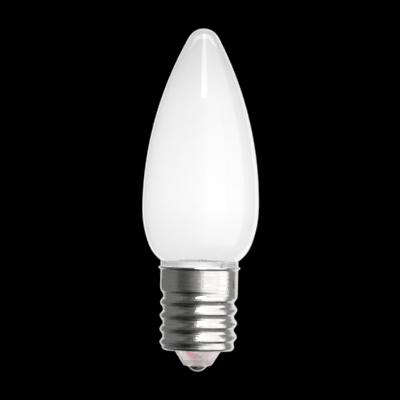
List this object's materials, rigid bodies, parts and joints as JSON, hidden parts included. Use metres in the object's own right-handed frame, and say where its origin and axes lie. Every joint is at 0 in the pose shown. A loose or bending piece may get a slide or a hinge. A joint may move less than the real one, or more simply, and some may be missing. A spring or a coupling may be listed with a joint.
{
  "type": "led christmas bulb",
  "caption": "Candle-shaped LED Christmas bulb: thick clear envelope frosted white inside, clear moulded neck and nickel screw cap with a pale cone and a centre contact.",
  "frame": {"origin": "on the lamp's axis, at the top of the screw cap's plain collar, where its lip starts to flare", "axes": "+Z along the axis from the cap to the envelope's tip, -Y is the pictured front, +X its right"},
  "size_m": [0.0244, 0.0244, 0.0723],
  "materials": {
    "envelope": "polished clear plastic outside, its inner face frosted white",
    "base_core": "clear moulded plastic, slightly cloudy",
    "nickel_shell": "bright nickel plate",
    "contact_metal": "nickel plate, smooth",
    "red_insulation": "glossy",
    "tinned_wire": "tinned copper",
    "white_plastic": "satin",
    "board": "white solder mask",
    "led_package": "white body, pale well",
    "black_package": "moulded",
    "film_block": "dipped",
    "can": "satin sleeve",
    "chip": "ends tinned",
    "solder": "smooth"
  },
  "bodies": {
    "root": {"envelope": "envelope", "base_core": "base_core", "screw_shell": "nickel_shell", "centre_contact": "contact_metal", "red_lead": "red_insulation", "shell_lead": "tinned_wire", "reflector_plug": "white_plastic", "circuit_board": "board", "bridge_rectifier": "black_package", "film_capacitor": "film_block", "smoothing_capacitor": "can", "resistor_1": "chip", "resistor_2": "chip", "contact_solder": "solder", "led_1": "led_package", "led_2": "led_package", "led_3": "led_package", "led_4": "led_package", "led_5": "led_package", "led_6": "led_package"}
  },
  "joints": []
}
